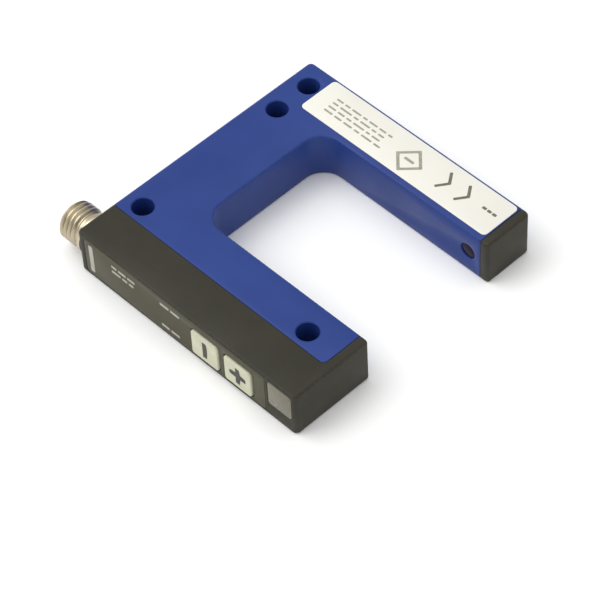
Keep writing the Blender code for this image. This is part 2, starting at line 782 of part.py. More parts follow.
def main_board():
    """The long circuit board behind the keys, with the parts that it carries."""
    start = CAVITY_BACK + BOARD_BACK_GAP
    end = CAVITY_END - BOARD_END_GAP
    height = CAVITY_HEIGHT - 2 * BOARD_EDGE_GAP
    half = BOARD_THICKNESS / 2
    board = to_object(
        "main_board",
        plate(end - start, height, -half, half, BOARD_CORNER),
        ((start + end) / 2, CONNECTOR_Y, MIDDLE),
        TO_CONTROL_SIDE,
    )
    finish(board, (0.02, 0.16, 0.06), 0.4)

    inner = BOARD_INNER + SOLDER_GAP
    outer = BOARD_OUTER - SOLDER_GAP
    on_board(
        "signal_processor",
        package(CHIP_SIZE, CHIP_SIZE, CHIP_HEIGHT, PACKAGE_MARK),
        THROAT + CHIP_FROM_THROAT,
        inner,
        MIDDLE,
        TO_EMITTER_SIDE,
        (0.015, 0.015, 0.015),
        0.5,
    )
    on_board(
        "voltage_regulator",
        package(*REGULATOR_SIZE, REGULATOR_HEIGHT),
        THROAT + REGULATOR_FROM_THROAT,
        inner,
        MIDDLE,
        TO_EMITTER_SIDE,
        (0.02, 0.02, 0.02),
        0.5,
    )
    place = (THROAT + CAPACITOR_FROM_THROAT, inner, MIDDLE)
    capacitor = on_board(
        "filter_capacitor",
        package(CAPACITOR_FOOT, CAPACITOR_FOOT, CAPACITOR_BASE, PACKAGE_MARK, draft=0.0),
        *place,
        TO_EMITTER_SIDE,
        (0.6, 0.6, 0.6),
        0.3,
        1.0,
    )
    can = [
        (0, CAPACITOR_BASE / 2),
        (CAPACITOR_DIAMETER / 2, CAPACITOR_BASE / 2),
        (CAPACITOR_DIAMETER / 2, CAPACITOR_HEIGHT - CAPACITOR_RIM),
        (CAPACITOR_DIAMETER / 2 - CAPACITOR_RIM, CAPACITOR_HEIGHT),
        (0, CAPACITOR_HEIGHT),
    ]
    boolean(capacitor, "capacitor_can", turned(can), place, TO_EMITTER_SIDE, "UNION")
    on_board(
        "receiver_photodiode",
        package(DIODE_SIZE, DIODE_SIZE, DIODE_HEIGHT),
        BEAM_X,
        inner,
        MIDDLE,
        TO_EMITTER_SIDE,
        (0.01, 0.01, 0.02),
        0.15,
    )
    on_board(
        "status_led",
        package(*STATUS_LED_SIZE, STATUS_LED_HEIGHT),
        INDICATOR_X,
        outer,
        INDICATOR_LEVEL,
        TO_CONTROL_SIDE,
        (0.75, 0.75, 0.6),
        0.25,
    )


def emitter_unit():
    """The short board in the emitter arm, with the light source that faces the gap."""
    half = BOARD_THICKNESS / 2
    board = to_object(
        "emitter_board",
        plate(
            EMITTER_BOARD_LENGTH,
            THICKNESS - 2 * POCKET_WALL - 2 * BOARD_EDGE_GAP,
            -half,
            half,
            BOARD_CORNER,
        ),
        (EMITTER_BOARD_END - EMITTER_BOARD_LENGTH / 2, EMITTER_BOARD_Y + half, MIDDLE),
        TO_CONTROL_SIDE,
    )
    finish(board, (0.02, 0.16, 0.06), 0.4)

    dome = EMITTER_LED_HEIGHT - EMITTER_LED_FLANGE
    radius = EMITTER_LED_BASE / 2
    profile = [(0, 0), (radius, 0), (radius, EMITTER_LED_FLANGE)]
    for step in range(ARC_STEPS):
        angle = math.pi / 2 * step / ARC_STEPS
        profile.append((dome * math.cos(angle), EMITTER_LED_FLANGE + dome * math.sin(angle)))
    profile.append((0, EMITTER_LED_HEIGHT))
    on_board(
        "emitter_led",
        turned(profile),
        BEAM_X,
        EMITTER_BOARD_Y - SOLDER_GAP,
        MIDDLE,
        TO_CONTROL_SIDE,
        (0.7, 0.1, 0.08),
        0.2,
    )


def link_cable():
    """The cable between the boards, through the yoke and along the emitter arm."""
    start = Vector((CABLE_X, BOARD_INNER + SEAM, MIDDLE))
    centre = Vector((CABLE_X + CABLE_BEND, CABLE_Y - CABLE_BEND, MIDDLE))
    board_start = EMITTER_BOARD_END - EMITTER_BOARD_LENGTH
    end = Vector((board_start + CABLE_LAP, CABLE_Y, MIDDLE))
    bend = []
    steps = 2 * ARC_STEPS
    for step in range(steps + 1):
        angle = math.pi - math.pi / 2 * step / steps
        bend.append(centre + CABLE_BEND * Vector((math.cos(angle), math.sin(angle), 0)))
    points = [start, *bend, end]

    curve = bpy.data.curves.new("link_cable", "CURVE")
    curve.dimensions = "3D"
    curve.bevel_depth = CABLE_DIAMETER / 2
    curve.bevel_resolution = 2
    curve.use_fill_caps = True
    spline = curve.splines.new("POLY")
    spline.points.add(len(points) - 1)
    for point, place in zip(spline.points, points):
        point.co = (*place, 1)
    cable = bpy.data.objects.new("link_cable", curve)
    bpy.context.scene.collection.objects.link(cable)
    return finish(cable, (0.02, 0.02, 0.02), 0.5)


def connector():
    """The round plug: threaded shell, sealing washer, contact carrier and four pins."""
    place = (BACK, CONNECTOR_Y, MIDDLE)
    collar = SEAL_THICKNESS + SEAM + CONNECTOR_COLLAR
    thread = collar + THREAD_RELIEF
    outer = CONNECTOR_THREAD / 2
    root = THREAD_ROOT / 2
    flange = -BACK_WALL - SEAM
    tail = flange - CONNECTOR_FLANGE_THICKNESS
    shell = to_object(
        "connector_shell",
        turned(
            [
                (CONNECTOR_CORE / 2, tail),
                (CONNECTOR_FLANGE / 2, tail),
                (CONNECTOR_FLANGE / 2, flange),
                (CONNECTOR_BARREL / 2, flange),
                (CONNECTOR_BARREL / 2, SEAL_THICKNESS + SEAM),
                (outer, SEAL_THICKNESS + SEAM),
                (outer, collar),
                (root, collar),
                (root, thread),
                (outer, thread + outer - root),
                (outer, CONNECTOR_LENGTH - THREAD_CHAMFER),
                (outer - THREAD_CHAMFER, CONNECTOR_LENGTH),
                (CONNECTOR_BORE / 2, CONNECTOR_LENGTH),
                (CONNECTOR_BORE / 2, CONNECTOR_STEP),
                (CONNECTOR_CORE / 2, CONNECTOR_STEP),
            ]
        ),
        place,
        TO_BACK,
    )
    finish(shell, (0.75, 0.7, 0.6), 0.3, 1.0)

    seal = to_object(
        "connector_seal",
        turned(
            [
                (CONNECTOR_BARREL / 2 + SEAM, SEAM / 2),
                (outer - SEAM, SEAM / 2),
                (outer - SEAM, SEAM / 2 + SEAL_THICKNESS),
                (CONNECTOR_BARREL / 2 + SEAM, SEAM / 2 + SEAL_THICKNESS),
            ]
        ),
        place,
        TO_BACK,
    )
    finish(seal, (0.02, 0.02, 0.02), 0.7)

    lip = CONNECTOR_STEP + SEAM
    carrier_tail = tail - CARRIER_TAIL
    carrier = to_object(
        "contact_carrier",
        turned(
            [
                (0, carrier_tail),
                (CONNECTOR_CORE / 2 - SEAM, carrier_tail),
                (CONNECTOR_CORE / 2 - SEAM, lip),
                (CONNECTOR_BORE / 2 - SEAM, lip),
                (CONNECTOR_BORE / 2 - SEAM, lip + CARRIER_LIP),
                (0, lip + CARRIER_LIP),
            ]
        ),
        place,
        TO_BACK,
    )
    slot = plate(CODING_SLOT, CODING_SLOT, CONNECTOR_STEP + CARRIER_LIP / 2, CONNECTOR_LENGTH)
    slot_place = (BACK, CONNECTOR_Y, MIDDLE + CONNECTOR_BORE / 2)
    boolean(carrier, "coding_slot", slot, slot_place, TO_BACK)
    finish(carrier, (0.02, 0.02, 0.02), 0.5)

    radius = PIN_DIAMETER / 2
    tip = CONNECTOR_LENGTH - PIN_RECESS
    pin_tail = -BACK_WALL - BOARD_BACK_GAP - PIN_TAIL
    profile = [
        (0, pin_tail),
        (radius, pin_tail),
        (radius, tip - radius),
        (radius / 2, tip),
        (0, tip),
    ]
    for number in range(4):
        angle = math.pi / 4 + math.pi / 2 * number
        away = PIN_CIRCLE / 2
        pin_place = (
            BACK,
            CONNECTOR_Y + away * math.cos(angle),
            MIDDLE + away * math.sin(angle),
        )
        hole = rod(radius + SEAM, carrier_tail - BEYOND, lip + CARRIER_LIP + BEYOND, SMALL_SIDES)
        boolean(carrier, f"contact_hole_{number + 1}", hole, pin_place, TO_BACK)
        pin = to_object(
            f"contact_pin_{number + 1}", turned(profile, SMALL_SIDES), pin_place, TO_BACK
        )
        finish(pin, (0.9, 0.7, 0.3), 0.25, 1.0)


def main():
    for old in list(bpy.data.objects):
        bpy.data.objects.remove(old, do_unlink=True)
    add_empty("fork_sensor")
    form = outer_form()
    fork_frame(form)
    emitter_end_cap(form)
    control_cover(form)
    control_foil()
    indicator_window()
    rating_label()
    for name, x in KEY_PLACES.items():
        key_unit(name, x)
    optics("emitter", INNER, TO_EMITTER_SIDE)
    optics("receiver", -INNER, TO_CONTROL_SIDE)
    main_board()
    emitter_unit()
    link_cable()
    connector()


main()
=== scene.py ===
import json
import math
import random

import bmesh
import bpy
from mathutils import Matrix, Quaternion, Vector


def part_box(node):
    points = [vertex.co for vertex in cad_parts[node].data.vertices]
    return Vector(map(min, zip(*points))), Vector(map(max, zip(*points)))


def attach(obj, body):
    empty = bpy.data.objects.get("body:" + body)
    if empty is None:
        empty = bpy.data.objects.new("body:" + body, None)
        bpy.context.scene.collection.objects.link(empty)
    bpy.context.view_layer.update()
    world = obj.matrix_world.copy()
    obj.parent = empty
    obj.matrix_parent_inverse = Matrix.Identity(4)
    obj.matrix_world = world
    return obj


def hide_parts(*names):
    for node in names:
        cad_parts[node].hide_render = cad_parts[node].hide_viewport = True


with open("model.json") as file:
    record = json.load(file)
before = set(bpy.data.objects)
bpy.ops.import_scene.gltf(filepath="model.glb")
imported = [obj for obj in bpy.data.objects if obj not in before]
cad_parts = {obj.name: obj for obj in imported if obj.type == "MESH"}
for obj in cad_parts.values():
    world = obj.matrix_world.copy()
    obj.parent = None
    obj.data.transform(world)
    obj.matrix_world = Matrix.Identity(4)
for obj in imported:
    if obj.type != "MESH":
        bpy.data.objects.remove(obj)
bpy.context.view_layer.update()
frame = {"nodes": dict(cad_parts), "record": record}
nodes = frame["nodes"]
slots = {part["node"]: part["material_slot"] for part in frame["record"]["subparts"]}
mm = 0.001
print("frame loaded:", len(nodes), "solids")


# Modelling tools

touch = 0.01 * mm  # two places nearer than this count as one level
mergeDistance = 0.001 * mm
flatAngle = math.radians(0.5)  # faces that turn less than this become one
softAngle = math.radians(50)  # corners that turn more than this get a soft edge
smoothAngle = math.radians(35)  # corners that turn less than this are shaded round
softSteps = 2


def deselectAll():
    if bpy.context.mode != "OBJECT":
        bpy.ops.object.mode_set(mode="OBJECT")
    bpy.ops.object.select_all(action="DESELECT")


def makeActive(piece):
    deselectAll()
    piece.select_set(True)
    bpy.context.view_layer.objects.active = piece


def startEdit(piece):
    makeActive(piece)
    bpy.ops.object.mode_set(mode="EDIT")
    bpy.ops.mesh.select_mode(type="EDGE")


def pick(piece, kind, test):  # selects the edges or faces that pass the test, and nothing else
    shape = bmesh.from_edit_mesh(piece.data)
    for item in [*shape.verts, *shape.edges, *shape.faces]:
        item.select = False
    for item in getattr(shape, kind):
        if test(item):
            item.select_set(True)
    bmesh.update_edit_mesh(piece.data)


def runsAlong(edge, axis, least):  # axis 0, 1 or 2 stands for X, Y or Z
    return abs(edge.verts[0].co[axis] - edge.verts[1].co[axis]) > least


def fixNormals():  # merges doubles and turns all faces outward
    bpy.ops.mesh.select_all(action="SELECT")
    bpy.ops.mesh.remove_doubles(threshold=mergeDistance)
    bpy.ops.mesh.normals_make_consistent(inside=False)


def applyModifier(piece, kind, **settings):
    makeActive(piece)
    modifier = piece.modifiers.new(kind, kind)
    for name, value in settings.items():
        setattr(modifier, name, value)
    bpy.ops.object.modifier_apply(modifier=modifier.name)


def softenEdges(piece, width):
    applyModifier(
        piece,
        "BEVEL",
        width=width,
        segments=softSteps,
        limit_method="ANGLE",
        angle_limit=softAngle,
        use_clamp_overlap=False,
        miter_outer="MITER_ARC",
    )


def combine(piece, tool, operation):  # a Boolean with a helper, which is then removed
    applyModifier(piece, "BOOLEAN", operation=operation, object=tool)
    bpy.data.objects.remove(tool)


def settle(piece, name, body, material, node=None):  # node is the solid that it stands for
    makeActive(piece)
    bpy.ops.object.transform_apply(location=True, rotation=True, scale=True)
    bpy.ops.object.shade_smooth_by_angle(angle=smoothAngle)
    piece.name = piece.data.name = name
    piece.data.materials.clear()
    piece.data.materials.append(material)
    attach(piece, body)
    if node:
        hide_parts(node)


# Shader tools

def addNode(tree, kind, values=(), **settings):  # values are numbers, colours or other nodes' outputs
    made = tree.nodes.new(kind)
    for name, value in settings.items():
        setattr(made, name, value)
    for socket, value in dict(values).items():
        if isinstance(value, bpy.types.NodeSocket):
            tree.links.new(value, made.inputs[socket])
        else:
            made.inputs[socket].default_value = value
    return made


def addNoise(tree, place, scale, detail, swirl=0.0):
    values = {"Vector": place, "Scale": scale, "Detail": detail, "Distortion": swirl}
    return addNode(tree, "ShaderNodeTexNoise", values).outputs[0]


def addRange(tree, value, low, high, start=0.0, end=1.0):  # low to high becomes start to end
    values = {"Value": value, "From Min": low, "From Max": high, "To Min": start, "To Max": end}
    return addNode(tree, "ShaderNodeMapRange", values).outputs[0]


def calculate(tree, operation, *values, **settings):
    made = addNode(tree, "ShaderNodeMath", enumerate(values), operation=operation, **settings)
    return made.outputs[0]


def newGroup(name, inputs, output):  # an input without a number is a vector
    group = bpy.data.node_groups.new(name, "ShaderNodeTree")
    for label, value in inputs.items():
        kind = "NodeSocketVector" if value is None else "NodeSocketFloat"
        socket = group.interface.new_socket(name=label, in_out="INPUT", socket_type=kind)
        if value is not None:
            socket.default_value = value
    group.interface.new_socket(name=output, in_out="OUTPUT", socket_type="NodeSocketFloat")
    given = group.nodes.new("NodeGroupInput").outputs
    result = group.nodes.new("NodeGroupOutput").inputs[output]
    return group, given, result


drift = {"detail": 4, "low": 0.3, "high": 0.7, "middle": 0.5}
grain = {"detail": 5}
# settings of the rim mask that paints highlight and shade along rounded rims
rimShadingSettings = {"flat": 0.02, "full": 0.25, "detail": 6, "low": 0.4, "high": 0.75}
toolMarks = {"scale": 1, "detail": 3}
smears = {"scale": 90, "detail": 6, "swirl": 0.6, "low": 0.3, "high": 0.7}


def makeToneDrift():  # slow, soft blotches of tone
    group, given, result = newGroup("toneDrift", {"Vector": None, "Scale": 120, "Contrast": 1}, "Mask")
    slow = addNoise(group, given["Vector"], given["Scale"], drift["detail"])
    spread = addRange(group, slow, drift["low"], drift["high"])
    shift = calculate(group, "SUBTRACT", spread, drift["middle"])
    gain = calculate(group, "MULTIPLY_ADD", shift, given["Contrast"], drift["middle"], use_clamp=True)
    group.links.new(gain, result)
    return group


def makeMouldGrain():  # the fine grain of paint, moulding and film
    group, given, result = newGroup("mouldGrain", {"Vector": None, "Scale": 4000, "Pebble": 0.5}, "Height")
    spots = {"Vector": given["Vector"], "Scale": given["Scale"]}
    pits = addNode(group, "ShaderNodeTexVoronoi", spots, feature="SMOOTH_F1").outputs[0]
    dust = addNoise(group, given["Vector"], given["Scale"], grain["detail"])
    blend = addNode(group, "ShaderNodeMix", {0: given["Pebble"], 2: dust, 3: pits}, data_type="FLOAT")
    group.links.new(blend.outputs[0], result)
    return group


def makePaintedRimShading():  # a mask of the sloping rims between level and upright faces, broken up by noise, for painted highlight and shade on the rims
    group, given, result = newGroup("rimWear", {"Vector": None, "Scale": 500, "Amount": 0.5}, "Mask")
    facing = addNode(group, "ShaderNodeNewGeometry").outputs["Normal"]
    upward = addNode(group, "ShaderNodeSeparateXYZ", {"Vector": facing}).outputs["Z"]
    level = calculate(group, "ABSOLUTE", upward)
    upright = calculate(group, "SUBTRACT", 1.0, level)
    slope = calculate(group, "MINIMUM", level, upright)
    rim = addRange(group, slope, rimShadingSettings["flat"], rimShadingSettings["full"])
    rimBreakup = addNoise(group, given["Vector"], given["Scale"], rimShadingSettings["detail"])
    broken = addRange(group, rimBreakup, rimShadingSettings["low"], rimShadingSettings["high"])
    both = calculate(group, "MULTIPLY", rim, broken)
    kept = calculate(group, "MULTIPLY", both, given["Amount"])
    group.links.new(kept, result)
    return group


def makeToolLines():  # fine lines of turning or brushing, as tight along each axis as Stretch says
    group, given, result = newGroup("toolLines", {"Vector": None, "Stretch": None}, "Height")
    factors = {0: given["Vector"], 1: given["Stretch"]}
    drawn = addNode(group, "ShaderNodeVectorMath", factors, operation="MULTIPLY").outputs[0]
    group.links.new(addNoise(group, drawn, toolMarks["scale"], toolMarks["detail"]), result)
    return group


def makeHandling():  # smears and dust that change how a surface shines
    group, given, result = newGroup("handling", {"Vector": None, "Low": 0.35, "High": 0.5}, "Roughness")
    smear = addNoise(group, given["Vector"], smears["scale"], smears["detail"], smears["swirl"])
    shine = addRange(group, smear, smears["low"], smears["high"], given["Low"], given["High"])
    group.links.new(shine, result)
    return group


toneDrift = makeToneDrift()
mouldGrain = makeMouldGrain()
rimWear = makePaintedRimShading()
toolLines = makeToolLines()
handling = makeHandling()
print("shader groups made")


def newMaterial(name, look):  # a Principled material with its even values set on the shader itself
    material = bpy.data.materials.new(name)
    material.use_nodes = True
    tree = material.node_tree
    shader = tree.nodes["Principled BSDF"]
    for socket, value in look.get("shader", {}).items():
        shader.inputs[socket].default_value = value
    place = addNode(tree, "ShaderNodeTexCoord").outputs["Object"]
    return material, tree, shader, place


def runGroup(tree, group, place, **values):
    made = tree.nodes.new("ShaderNodeGroup")
    made.node_tree = group
    tree.links.new(place, made.inputs["Vector"])
    for socket, value in values.items():
        made.inputs[socket].default_value = value
    return made.outputs[0]


def mixColour(tree, mask, first, second):  # first where the mask is 0, second where it is 1
    mixed = addNode(tree, "ShaderNodeMix", {0: mask}, data_type="RGBA")
    for socket, colour in ((6, first), (7, second)):
        if isinstance(colour, bpy.types.NodeSocket):
            tree.links.new(colour, mixed.inputs[socket])
        else:
            mixed.inputs[socket].default_value = (*colour, 1)
    return mixed.outputs[2]


def driftingColour(tree, place, look):
    mask = runGroup(tree, toneDrift, place, Scale=look["driftScale"], Contrast=look["driftContrast"])
    return mixColour(tree, mask, look["dark"], look["light"])


def addHandling(tree, shader, place, look):
    low, high = look["roughness"]
    tree.links.new(runGroup(tree, handling, place, Low=low, High=high), shader.inputs["Roughness"])


def addBump(tree, shader, height, depth):
    bump = addNode(tree, "ShaderNodeBump", {"Height": height, "Distance": depth})
    tree.links.new(bump.outputs[0], shader.inputs["Normal"])


def surface(name, look):  # the usual build: drifting tone, painted light and shade on the rims, grain and handling marks
    material, tree, shader, place = newMaterial(name, look)
    colour = driftingColour(tree, place, look)
    if "rim" in look:
        # the rims get the look's rim colour: a painted highlight where it is lighter, painted shade where
        # it is darker
        rimShaded = runGroup(tree, rimWear, place, Scale=look["rimScale"], Amount=look["rimAmount"])
        colour = mixColour(tree, rimShaded, colour, look["rim"])
    tree.links.new(colour, shader.inputs["Base Color"])
    addHandling(tree, shader, place, look)
    height = runGroup(tree, mouldGrain, place, Scale=look["grainScale"], Pebble=look["pebble"])
    addBump(tree, shader, height, look["grainDepth"])
    return material


paintLook = {
    "dark": (0.011, 0.032, 0.182),
    "light": (0.0165, 0.047, 0.226),
    "driftScale": 60,
    "driftContrast": 0.8,
    # rim: a painted highlight, lighter blue along the rounded rims
    "rim": (0.06, 0.1, 0.32),
    "rimScale": 2600,
    "rimAmount": 0.3,
    "roughness": (0.36, 0.48),
    "grainScale": 3600,
    "pebble": 0.45,
    "grainDepth": 0.014 * mm,
    "shader": {"Specular IOR Level": 0.28},
}
coverLook = {
    "dark": (0.022, 0.02, 0.011),
    "light": (0.031, 0.028, 0.017),
    "driftScale": 80,
    "driftContrast": 0.8,
    # rim: a painted highlight, lighter grey along the rounded rims
    "rim": (0.075, 0.073, 0.06),
    "rimScale": 2600,
    "rimAmount": 0.35,
    "roughness": (0.46, 0.6),
    "grainScale": 5200,
    "pebble": 0.7,
    "grainDepth": 0.03 * mm,
    "shader": {"Specular IOR Level": 0.28},
}
foilLook = {
    "dark": (0.052, 0.048, 0.024),
    "light": (0.068, 0.063, 0.034),
    "driftScale": 110,
    "driftContrast": 0.7,
    "roughness": (0.38, 0.5),
    "grainScale": 6500,
    "pebble": 0.3,
    "grainDepth": 0.02 * mm,
    "shader": {"Specular IOR Level": 0.3},
}
indicatorLook = {
    "dark": (0.115, 0.1, 0.055),
    "light": (0.145, 0.13, 0.075),
    "driftScale": 300,
    "driftContrast": 0.7,
    "roughness": (0.22, 0.34),
    "grainScale": 2600,
    "pebble": 0.9,
    "grainDepth": 0.06 * mm,
    "shader": {"Coat Weight": 0.3, "Coat Roughness": 0.2, "Transmission Weight": 0.12},
}
labelLook = {
    "dark": (0.75, 0.735, 0.66),
    "light": (0.81, 0.795, 0.72),
    "driftScale": 130,
    "driftContrast": 0.6,
    "roughness": (0.42, 0.55),
    "grainScale": 5000,
    "pebble": 0.1,
    "grainDepth": 0.008 * mm,
}
keyLook = {
    "dark": (0.52, 0.515, 0.38),
    "light": (0.62, 0.615, 0.46),
    "driftScale": 300,
    "driftContrast": 0.7,
    # rim: painted shade, darker along the rounded rims
    "rim": (0.4, 0.39, 0.28),
    "rimScale": 900,
    "rimAmount": 0.35,
    "roughness": (0.4, 0.52),
    "grainScale": 5200,
    "pebble": 0.6,
    "grainDepth": 0.02 * mm,
    "shader": {"Subsurface Weight": 0.08, "Subsurface Radius": (1 * mm, 1 * mm, 0.7 * mm)},
}
inkLook = {
    "dark": (0.03, 0.03, 0.026),
    "light": (0.05, 0.05, 0.042),
    "driftScale": 900,
    "driftContrast": 0.8,
    "roughness": (0.45, 0.6),
    "grainScale": 9000,
    "pebble": 0.2,
    "grainDepth": 0.004 * mm,
}
greyInkLook = {**inkLook, "dark": (0.26, 0.255, 0.19), "light": (0.38, 0.37, 0.29)}
oliveInkLook = {**inkLook, "dark": (0.1, 0.095, 0.06), "light": (0.17, 0.16, 0.11)}
paleInkLook = {**inkLook, "dark": (0.34, 0.32, 0.27), "light": (0.46, 0.44, 0.38)}
filterLook = {
    "dark": (0.01, 0.004, 0.018),
    "light": (0.016, 0.007, 0.028),
    "driftScale": 400,
    "driftContrast": 0.6,
    "roughness": (0.12, 0.2),
    "grainScale": 1500,
    "pebble": 0.2,
    "grainDepth": 0.003 * mm,
    "shader": {"Specular IOR Level": 0.08},
}
lensLook = {
    "dark": (0.86, 0.9, 0.9),
    "light": (0.95, 0.97, 0.96),
    "driftScale": 300,
    "driftContrast": 0.5,
    "roughness": (0.02, 0.05),
    "grainScale": 1500,
    "pebble": 0.2,
    "grainDepth": 0.002 * mm,
    "shader": {"Transmission Weight": 0.95, "IOR": 1.5},
}
ledLook = {
    **lensLook,
    "dark": (0.7, 0.56, 0.44),
    "light": (0.82, 0.68, 0.56),
    "shader": {"Transmission Weight": 0.45, "IOR": 1.48},
}
blackLook = {
    "dark": (0.014, 0.014, 0.013),
    "light": (0.024, 0.024, 0.022),
    "driftScale": 300,
    "driftContrast": 0.8,
    # rim: a painted highlight, lighter along the rounded rims
    "rim": (0.05, 0.05, 0.047),
    "rimScale": 1500,
    "rimAmount": 0.5,
    "roughness": (0.4, 0.55),
    "grainScale": 7000,
    "pebble": 0.6,
    "grainDepth": 0.02 * mm,
}
sealLook = {**blackLook, "roughness": (0.62, 0.78), "grainScale": 4500, "shader": {"Sheen Weight": 0.2}}
cableLook = {**blackLook, "roughness": (0.5, 0.62), "grainScale": 3500}


def metal(name, look):  # plated or bare metal with tool lines
    material, tree, shader, place = newMaterial(name, look)
    lines = runGroup(tree, toolLines, place, Stretch=look["stretch"])
    colour = mixColour(tree, lines, driftingColour(tree, place, look), look["line"])
    tree.links.new(colour, shader.inputs["Base Color"])
    addHandling(tree, shader, place, look)
    addBump(tree, shader, lines, look["lineDepth"])
    return material


nickelLook = {
    "dark": (0.46, 0.405, 0.29),
    "light": (0.6, 0.535, 0.41),
    "line": (0.53, 0.47, 0.35),
    "driftScale": 260,
    "driftContrast": 0.9,
    "stretch": (9000, 260, 260),
    "lineDepth": 0.006 * mm,
    "roughness": (0.3, 0.42),
    "shader": {"Metallic": 1.0},
}
goldLook = {
    **nickelLook,
    "dark": (0.82, 0.58, 0.22),
    "light": (0.93, 0.7, 0.32),
    "line": (0.86, 0.63, 0.27),
    "roughness": (0.16, 0.26),
}
canLook = {
    **nickelLook,
    "dark": (0.55, 0.55, 0.54),
    "light": (0.68, 0.68, 0.67),
    "line": (0.6, 0.6, 0.6),
    "stretch": (300, 7000, 300),
}
steelLook = {**canLook, "stretch": (5000, 200, 200), "roughness": (0.28, 0.4)}


def boardMaterial(name, look):  # green mask over copper tracks
    material, tree, shader, place = newMaterial(name, look)
    bricks = {
        "Vector": place,
        "Scale": look["trackScale"],
        "Mortar Size": look["trackWidth"],
        "Mortar": (0, 0, 0, 1),
        "Color1": (1, 1, 1, 1),
        "Color2": (1, 1, 1, 1),
    }
    between = addNode(tree, "ShaderNodeTexBrick", bricks).outputs["Color"]  # black on the tracks
    colour = mixColour(tree, between, look["track"], driftingColour(tree, place, look))
    tree.links.new(colour, shader.inputs["Base Color"])
    addHandling(tree, shader, place, look)
    addBump(tree, shader, between, look["trackDepth"])
    return material


boardLook = {
    "dark": (0.014, 0.12, 0.045),
    "light": (0.022, 0.17, 0.065),
    "driftScale": 200,
    "driftContrast": 0.8,
    "track": (0.03, 0.24, 0.09),
    "trackScale": 260,
    "trackWidth": 0.06,
    "trackDepth": 0.02 * mm,
    "roughness": (0.28, 0.4),
    "shader": {"Coat Weight": 0.4, "Coat Roughness": 0.2},
}

materials = {
    "painted_body": surface("bluePaint", paintLook),
    "dark_moulding": surface("darkMoulding", coverLook),
    "grey_foil": surface("greyFilm", foilLook),
    "indicator_plastic": surface("indicatorPlastic", indicatorLook),
    "label_film": surface("labelFilm", labelLook),
    "key_plastic": surface("keyPlastic", keyLook),
    "black_plastic": surface("blackPlastic", blackLook),
    "switch_steel": metal("switchSteel", steelLook),
    "filter_glass": surface("filterGlass", filterLook),
    "clear_glass": surface("lensGlass", lensLook),
    "board_laminate": boardMaterial("boardGreen", boardLook),
    "capacitor_can": metal("canAluminium", canLook),
    "led_plastic": surface("ledResin", ledLook),
    "cable_sheath": surface("cableSheath", cableLook),
    "nickel_plate": metal("nickelPlate", nickelLook),
    "seal_rubber": surface("sealRubber", sealLook),
    "contact_metal": metal("goldPlate", goldLook),
}
inks = {
    "dark": surface("darkInk", inkLook),
    "grey": surface("greyInk", greyInkLook),
    "olive": surface("oliveInk", oliveInkLook),
    "pale": surface("paleInk", paleInkLook),
}
print("materials made:", len(materials) + len(inks))


# Pieces that keep the form of their solids, with soft edges and round shading

outerPieces = {
    "fork_frame": {"name": "paintedFork", "edge": 0.07 * mm},
    "control_cover": {"name": "controlShell", "edge": 0.06 * mm},
    "emitter_end_cap": {"name": "emitterCap", "edge": 0.06 * mm},
    "indicator_window": {"name": "indicatorPane", "edge": 0.06 * mm},
    "control_foil": {"name": "frontFilm", "edge": 0.02 * mm},
    "rating_label": {"name": "labelFilm", "edge": 0.02 * mm},
    "emitter_window": {"name": "emitterPane", "edge": 0.05 * mm},
    "receiver_window": {"name": "receiverPane", "edge": 0.05 * mm},
    "connector_seal": {"name": "plugSeal", "edge": 0.05 * mm},
    "contact_carrier": {"name": "pinCarrier", "edge": 0.05 * mm},
    "contact_pin_1": {"name": "contactPinOne", "edge": 0.04 * mm},
    "contact_pin_2": {"name": "contactPinTwo", "edge": 0.04 * mm},
    "contact_pin_3": {"name": "contactPinThree", "edge": 0.04 * mm},
    "contact_pin_4": {"name": "contactPinFour", "edge": 0.04 * mm},
}
innerPieces = {
    "emitter_lens": {"name": "emitterLens", "edge": 0.04 * mm},
    "receiver_lens": {"name": "receiverLens", "edge": 0.04 * mm},
    "emitter_led": {"name": "emitterLed", "edge": 0.03 * mm},
    "status_led": {"name": "statusLed", "edge": 0.05 * mm},
    "receiver_photodiode": {"name": "receiverPhotodiode", "edge": 0.05 * mm},
    "signal_processor": {"name": "signalProcessor", "edge": 0.05 * mm},
    "voltage_regulator": {"name": "voltageRegulator", "edge": 0.05 * mm},
    "filter_capacitor": {"name": "filterCapacitor", "edge": 0.1 * mm},
    "main_board": {"name": "mainBoard", "edge": 0.03 * mm},
    "emitter_board": {"name": "emitterBoard", "edge": 0.03 * mm},
    "link_cable": {"name": "linkCable", "edge": 0.05 * mm},
    "minus_switch": {"name": "minusSwitch", "edge": 0.04 * mm},
    "plus_switch": {"name": "plusSwitch", "edge": 0.04 * mm},
    "minus_switch_plunger": {"name": "minusPlunger", "edge": 0.05 * mm, "body": "minus_key_unit"},
    "plus_switch_plunger": {"name": "plusPlunger", "edge": 0.05 * mm, "body": "plus_key_unit"},
}


def softenedCopy(node, look):
    piece = bpy.data.objects.new(look["name"], nodes[node].data.copy())
    bpy.context.scene.collection.objects.link(piece)
    startEdit(piece)
    fixNormals()
    bpy.ops.mesh.dissolve_limited(angle_limit=flatAngle)
    softenEdges(piece, look["edge"])
    slot = slots[node]
    settle(piece, look["name"], look.get("body", "root"), materials[slot], node)


for node, look in {**outerPieces, **innerPieces}.items():
    softenedCopy(node, look)
print("soft-edged pieces made")


# The round plug, turned ring by ring and given its fine thread

